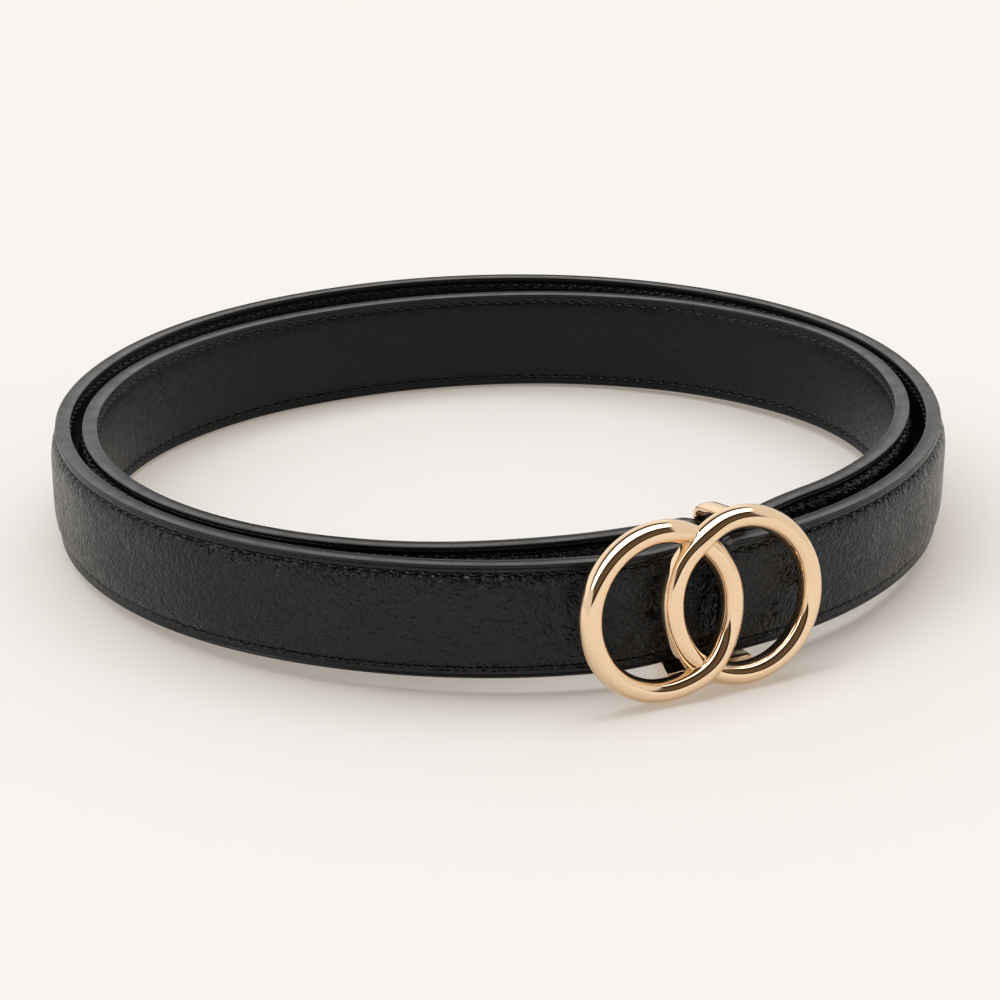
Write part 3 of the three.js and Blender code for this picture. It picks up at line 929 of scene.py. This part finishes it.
def buildKeeper(material):
    half, gap = keeper["thickness"] / 2, strap["gap"]
    under, over = -(gap + half), strap["width"] + keeper["overStrap"] + half
    innerSide = float(faceRadius(np.array(coil["behindRings"]))) - strapThickness - strap["swell"]
    behind = -(innerSide - keeper["slack"]) + half
    tongueEnd = strap["width"] + keeper["rise"]
    lipEdge = keeper["lipOffset"] - keeper["lipWidth"] / 2
    tongueEdge = keeper["tongueOffset"] - keeper["tongueWidth"] / 2
    frontBelow = ringBackAt(lipEdge, under) + rings["lapDepth"] + gap
    frontAbove = ringBackAt(tongueEdge, tongueEnd + half) + gap
    path = [(frontBelow, under), *quarter(behind, under, keeper["bend"], False)]
    path += [(behind, strap["width"] * share) for share in keeper["plate"]]
    plateEnd, tongueStart = len(path) - 2, len(path) - 1
    path += [*quarter(behind, over, keeper["tongueBend"], True), (frontAbove, tongueEnd)]
    path = np.array(path)
    reach = np.append(0, np.cumsum(np.linalg.norm(np.diff(path, axis=0), axis=1)))
    at = np.unique(np.concatenate([reach, np.linspace(0, reach[-1], keeper["samples"])]))
    line = np.stack([np.interp(at, reach, path[:, i]) for i in (0, 1)], -1)
    narrow = np.clip((at - reach[plateEnd]) / (reach[tongueStart] - reach[plateEnd]), 0, 1)
    narrow = narrow * narrow * (3 - 2 * narrow)
    width = keeper["width"] + (keeper["tongueWidth"] - keeper["width"]) * narrow
    middle = keeper["offset"] + (keeper["tongueOffset"] - keeper["offset"]) * narrow
    flare = np.clip(1 - at / reach[1], 0, 1)
    width += (keeper["lipWidth"] - keeper["width"]) * flare
    middle += (keeper["lipOffset"] - keeper["offset"]) * flare
    tangent = np.gradient(line, axis=0)
    tangent /= np.linalg.norm(tangent, axis=1)[:, None]
    normal = np.stack([tangent[:, 1], -tangent[:, 0]], -1)
    # the metal strip's section: a crowned outer side, soft corners and a flat inner side
    soft = keeper["softening"]
    crowned = np.linspace(keeper["crownReach"], -keeper["crownReach"], keeper["crownPoints"])
    section = [(x, 1.0, 0.0, keeper["crown"] * (1 - x * x)) for x in crowned]
    for x, y in ((-1, 1), (-1, -1), (1, -1), (1, 1)):
        for share in (0.0, 0.5, 1.0):
            angle = math.atan2(y, x) + (share - 0.5) * math.pi / 2
            section.append((x, y, soft * (math.cos(angle) - x), soft * (math.sin(angle) - y)))
    corners = []
    for i in range(len(at)):
        for across, outwards, dx, dy in section:
            out = outwards * half + dy * min(1.0, width[i] / keeper["tongueWidth"])
            sideways = middle[i] + across * width[i] / 2 + dx
            y, z = line[i] + normal[i] * out
            corners.append((sideways, y, z))
    piece = makeMesh("keeperClip", toFrame(corners), skinFaces(len(at), len(section)), material)
    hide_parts("keeper")
    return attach(piece, "root")


# Camera, floor and light
view = {
    "place": (-284.34, -484.62, 229.73),  # millimetres
    "aim": (-1.12, 1.75, 2.34),
    "roll": 0.685,
    "lens": 99.13,
    "sensor": 36.0,
    "clip": (0.01, 20.0),  # metres
}
studio = {
    "floor": (0.637, 0.643, 0.65),
    "glow": (1.0, 0.86, 0.72),  # the shadows stay pale, as on a lit table
    "glowStrength": 0.27,
    "roughness": 0.9,
    "shine": 0.15,
    "floorSize": 6.0,  # metres to each side
}
# The air's light by height, in degrees from the horizon on the viewer's side over the top to the far
# horizon: (degrees, red, green, blue). The belt stands in a dim room under a long soft box.
air = {
    "room": [
        (0, 0.96, 0.93, 0.9), (19, 0.98, 0.95, 0.92), (22, 0.02, 0.013, 0.008), (29, 0.03, 0.02, 0.012),
        (36, 0.12, 0.085, 0.055), (44, 0.17, 0.125, 0.085), (52, 0.1, 0.072, 0.048), (62, 0.14, 0.1, 0.068),
        (70, 0.07, 0.05, 0.032), (77, 0.02, 0.013, 0.008), (83, 0.015, 0.01, 0.007), (85, 0.35, 0.38, 0.45),
        (88, 3.2, 3.18, 3.15), (118, 3.2, 3.18, 3.15), (121, 0.03, 0.02, 0.013), (131, 0.04, 0.028, 0.02),
        (137, 0.85, 0.84, 0.82), (156, 1.15, 1.13, 1.1), (180, 0.75, 0.73, 0.7),
    ],
    "side": (0.85, 0.82, 0.79),
    "left": (-0.9, 0.03),  # beyond these the side's even light begins: place and softness, as the
    "right": (0.62, 0.05),  # sideways part of the direction
}


def buildCamera():
    camera = bpy.data.cameras.new("camera")
    camera.sensor_width, camera.lens = view["sensor"], view["lens"]
    camera.clip_start, camera.clip_end = view["clip"]
    holder = bpy.data.objects.new("camera", camera)
    place, aim = Vector(view["place"]) * mm, Vector(view["aim"]) * mm
    turn = (aim - place).to_track_quat("-Z", "Y").to_matrix().to_4x4()
    roll = Matrix.Rotation(math.radians(view["roll"]), 4, "Z")
    holder.matrix_world = Matrix.Translation(place) @ turn @ roll
    scene.collection.objects.link(holder)
    scene.camera = holder


def buildAir():
    world = bpy.data.worlds.new("air")
    world.use_nodes = True
    scene.world = world
    tree = world.node_tree
    split = addNode(tree, "ShaderNodeSeparateXYZ")
    tree.links.new(tree.nodes.new("ShaderNodeTexCoord").outputs["Generated"], split.inputs["Vector"])
    above = maths(tree, "MAXIMUM", split.outputs["Z"], 0.0)
    height = maths(tree, "ARCTAN2", above, maths(tree, "MULTIPLY", split.outputs["Y"], -1.0))
    room = tree.nodes.new("ShaderNodeValToRGB")
    tree.links.new(maths(tree, "DIVIDE", height, math.pi), room.inputs["Fac"])
    stops = room.color_ramp.elements
    while len(stops) < len(air["room"]):
        stops.new(0.5)
    for stop, (degrees, red, green, blue) in zip(stops, air["room"]):
        stop.position, stop.color = degrees / 180, (red, green, blue, 1.0)
    (left, leftSoft), (right, rightSoft) = air["left"], air["right"]
    inside = ranged(tree, split.outputs["X"], left - leftSoft, left + leftSoft)
    beyond = ranged(tree, split.outputs["X"], right - rightSoft, right + rightSoft, 1.0, 0.0)
    ahead = maths(tree, "MULTIPLY", inside, beyond)
    blend = addNode(tree, "ShaderNodeMix", {"data_type": "RGBA"}, Factor=ahead)
    blend.inputs["A"].default_value = (*air["side"], 1.0)
    tree.links.new(room.outputs["Color"], blend.inputs["B"])
    tree.links.new(blend.outputs["Result"], tree.nodes["Background"].inputs["Color"])


def buildStudio():
    material, tree, shader = newMaterial("floor")
    shader.inputs["Base Color"].default_value = (*studio["floor"], 1.0)
    shader.inputs["Roughness"].default_value = studio["roughness"]
    shader.inputs["Specular IOR Level"].default_value = studio["shine"]
    shader.inputs["Emission Color"].default_value = (*studio["glow"], 1.0)
    shader.inputs["Emission Strength"].default_value = studio["glowStrength"]
    size = studio["floorSize"]
    mesh = bpy.data.meshes.new("floor")
    corners = [(-size, -size, 0), (size, -size, 0), (size, size, 0), (-size, size, 0)]
    mesh.from_pydata(corners, [], [(0, 1, 2, 3)])
    mesh.materials.append(material)
    floor = bpy.data.objects.new("floor", mesh)
    scene.collection.objects.link(floor)
    buildAir()
    scene.view_settings.view_transform = "Standard"


buildCamera()
buildStudio()
print("camera, floor and light ready")
buildFace()
buildLining()
buildEdge()
print("strap ready")
sewn = stitchTree(threadMaterial())
buildStitches(sewn, "faceStitches", faceSurface, 1.0)
buildStitches(sewn, "liningStitches", liningSurface, -1.0)
print("stitches ready")
plating = goldMaterial()
buildRings(plating)
buildKeeper(plating)
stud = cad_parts["stud"]
stud.data.materials.clear()
stud.data.materials.append(plating)
print("metal ready")
